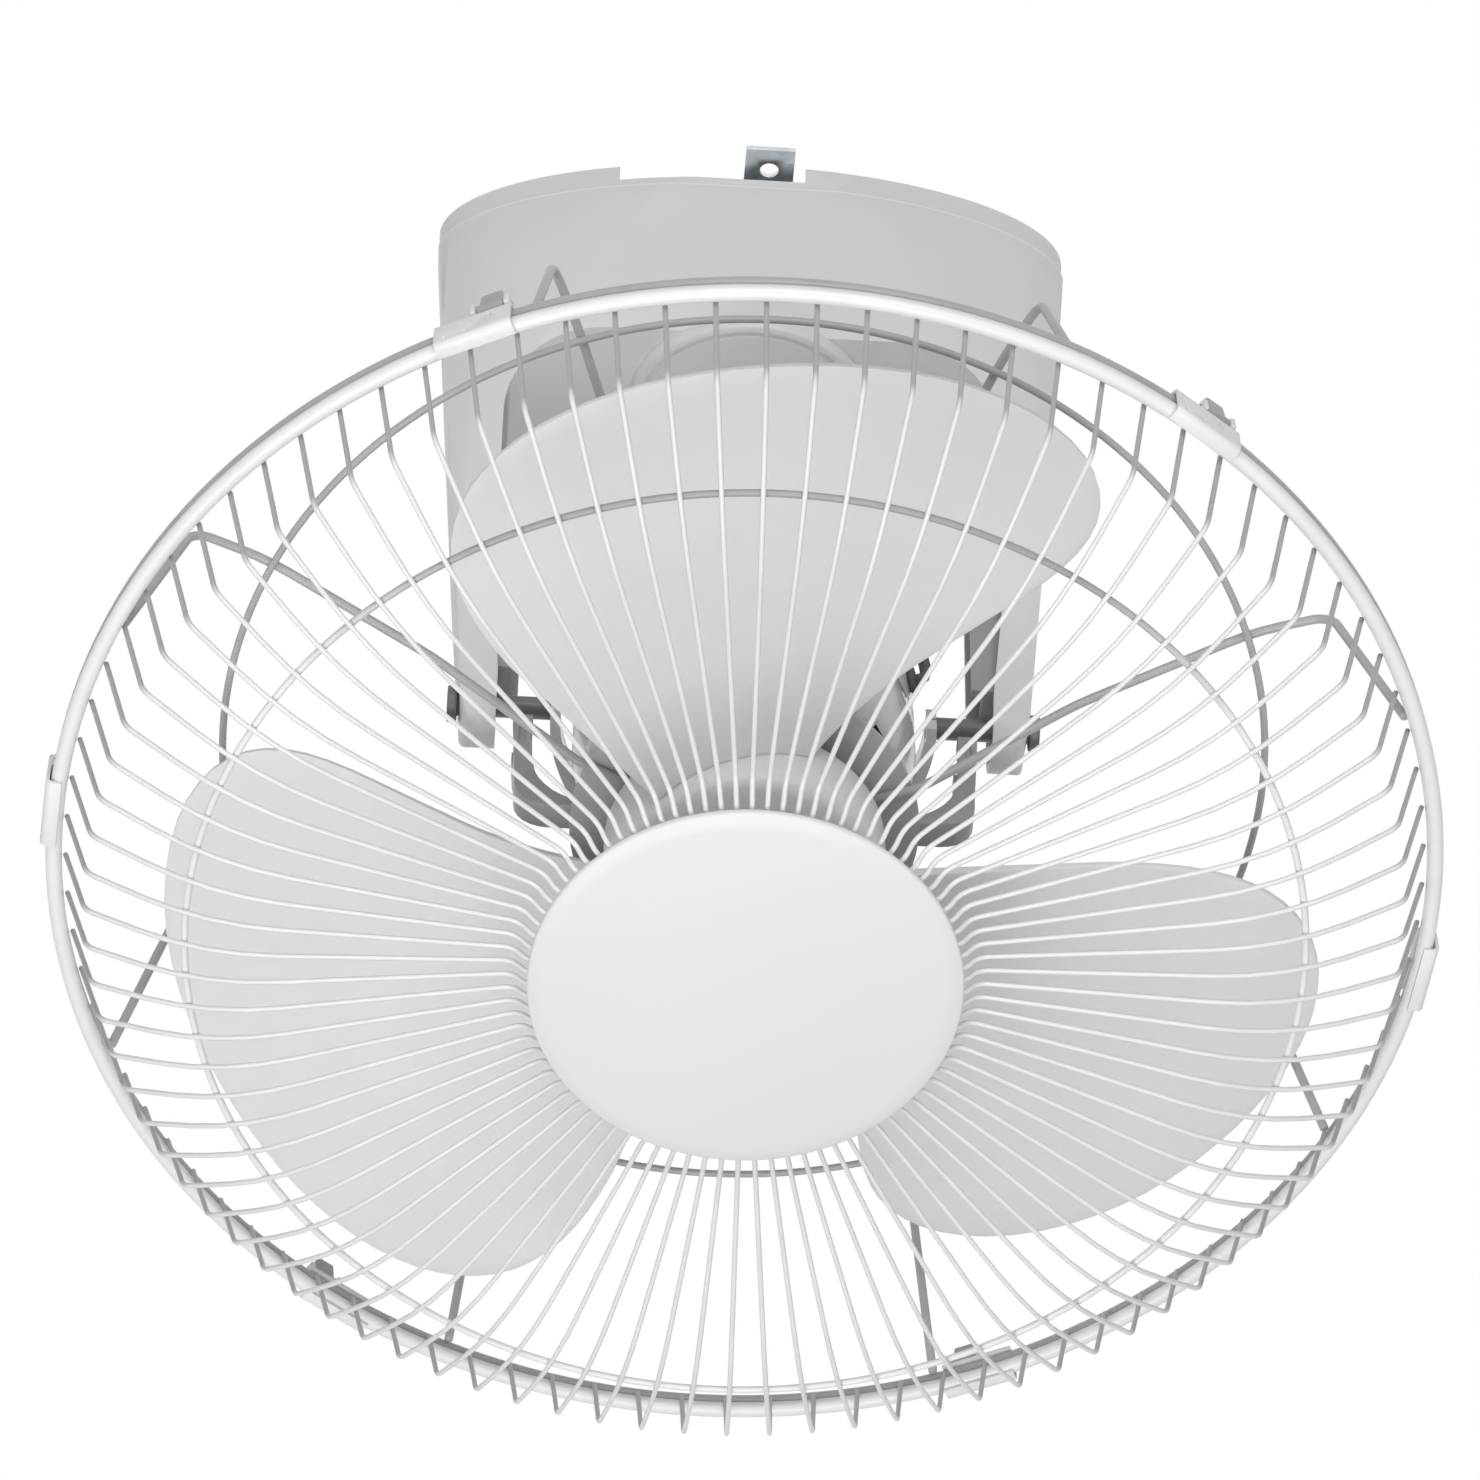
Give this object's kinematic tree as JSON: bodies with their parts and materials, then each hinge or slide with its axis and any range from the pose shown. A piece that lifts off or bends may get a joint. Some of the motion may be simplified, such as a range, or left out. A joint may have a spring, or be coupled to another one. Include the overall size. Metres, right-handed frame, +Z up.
{
  "type": "orbital ceiling fan",
  "caption": "Orbital ceiling fan: arched housing, gimballed motor head swung by a crank, round wire guard with clips, broad blades and a plain centre cap.",
  "frame": {"origin": "middle of the ceiling plate's top face, on the ceiling", "axes": "+Z up to the ceiling, +X from arm to arm to the right seen from the front, -Y towards the front, where the tab is"},
  "size_m": [0.4732, 0.4563, 0.4263],
  "materials": {
    "zinc_plate": "bright zinc plating, slightly blue",
    "housing_shell": "satin light grey moulding",
    "boss_shell": "satin light grey moulding",
    "dark_frame": "dark grey paint on pressed steel",
    "motor_paint": "bluish grey gloss paint on die casting",
    "guard_paint": "white coating on steel wire",
    "rear_guard_paint": "light grey coating on steel wire",
    "blade_plastic": "slightly translucent white moulding",
    "badge_plastic": "bare satin white cap",
    "clip_plastic": "light grey moulding",
    "steel": "plain machined steel",
    "copper_wire": "varnished copper wire",
    "nylon": "natural nylon",
    "black_plastic": "black moulding",
    "black_rubber": "black rubber",
    "dark_screw": "blackened steel"
  },
  "bodies": {
    "base": {"ceiling_plate": "zinc_plate", "yoke_frame": "dark_frame", "yoke_screws": "steel", "housing": "housing_shell", "housing_screws": "steel", "orbit_boss": "boss_shell", "orbit_bridge": "steel", "orbit_post": "zinc_plate", "post_nut": "steel", "post_socket": "nylon", "terminal_block": "nylon", "capacitor": "black_plastic", "tilt_bushes": "nylon"},
    "gimbal": {"gimbal_fork": "motor_paint", "tilt_pins": "dark_screw", "roll_bush": "nylon"},
    "head": {"roll_pin": "steel", "rear_cover": "motor_paint", "front_cover": "motor_paint", "stator_core": "steel", "windings": "copper_wire", "rear_bearing": "steel", "front_bearing": "steel", "head_cradle": "dark_frame", "cradle_screws": "steel", "orbit_bracket": "zinc_plate", "orbit_motor": "zinc_plate", "motor_lead": "black_rubber", "lead_gland": "black_rubber", "rear_guard_hub": "rear_guard_paint", "rear_guard_wires": "rear_guard_paint", "rear_guard_ring": "rear_guard_paint", "rear_rim": "rear_guard_paint", "front_rim": "guard_paint", "front_guard_wires": "guard_paint", "front_middle_ring": "guard_paint", "front_inner_ring": "guard_paint", "badge_plate": "zinc_plate", "badge": "badge_plastic", "badge_screws": "steel", "guard_clips": "clip_plastic", "clip_pins": "steel"},
    "rotor": {"fan_shaft": "steel", "rotor_core": "steel", "fan_hub": "blade_plastic", "fan_blades": "blade_plastic", "hub_nut": "blade_plastic"},
    "crank": {"crank_arm": "zinc_plate", "crank_ball": "steel"},
    "clip_lever_1": {"clip_lever_1": "clip_plastic"},
    "clip_lever_2": {"clip_lever_2": "clip_plastic"},
    "clip_lever_3": {"clip_lever_3": "clip_plastic"},
    "clip_lever_4": {"clip_lever_4": "clip_plastic"},
    "clip_lever_5": {"clip_lever_5": "clip_plastic"},
    "clip_lever_6": {"clip_lever_6": "clip_plastic"}
  },
  "joints": [
    {"name": "head_tilt", "type": "hinge", "parent": "base", "child": "gimbal", "pos_m": [0, 0, -0.236], "axis": [1, 0, 0], "range_deg": [-0.5, 29.5]},
    {"name": "head_roll", "type": "hinge", "parent": "gimbal", "child": "head", "pos_m": [0, 0, -0.236], "axis": [0, 0.9681, -0.2504], "range_deg": [-15, 15]},
    {"name": "fan_spin", "type": "hinge", "parent": "head", "child": "rotor", "pos_m": [0, 0, -0.236], "axis": [0, -0.2504, -0.9681], "continuous": true},
    {"name": "orbit_turn", "type": "hinge", "parent": "head", "child": "crank", "pos_m": [0, 0, -0.236], "axis": [0, -0.2504, -0.9681], "continuous": true},
    {"name": "clip_1_open", "type": "hinge", "parent": "head", "child": "clip_lever_1", "pos_m": [0.23311, -0.00324, -0.32996], "axis": [-0.0872, 0.9645, -0.2494], "range_deg": [0, 90]},
    {"name": "clip_2_open", "type": "hinge", "parent": "head", "child": "clip_lever_2", "pos_m": [0.13422, -0.20856, -0.27686], "axis": [0.8192, 0.5553, -0.1436], "range_deg": [0, 90]},
    {"name": "clip_3_open", "type": "hinge", "parent": "head", "child": "clip_lever_3", "pos_m": [-0.09889, -0.2283, -0.27176], "axis": [0.9063, -0.4092, 0.1058], "range_deg": [0, 90]},
    {"name": "clip_4_open", "type": "hinge", "parent": "head", "child": "clip_lever_4", "pos_m": [-0.23311, -0.04272, -0.31975], "axis": [0.0872, -0.9645, 0.2494], "range_deg": [0, 90]},
    {"name": "clip_5_open", "type": "hinge", "parent": "head", "child": "clip_lever_5", "pos_m": [-0.13422, 0.1626, -0.37285], "axis": [-0.8192, -0.5553, 0.1436], "range_deg": [0, 90]},
    {"name": "clip_6_open", "type": "hinge", "parent": "head", "child": "clip_lever_6", "pos_m": [0.09889, 0.18234, -0.37796], "axis": [-0.9063, 0.4092, -0.1058], "range_deg": [0, 90]}
  ]
}
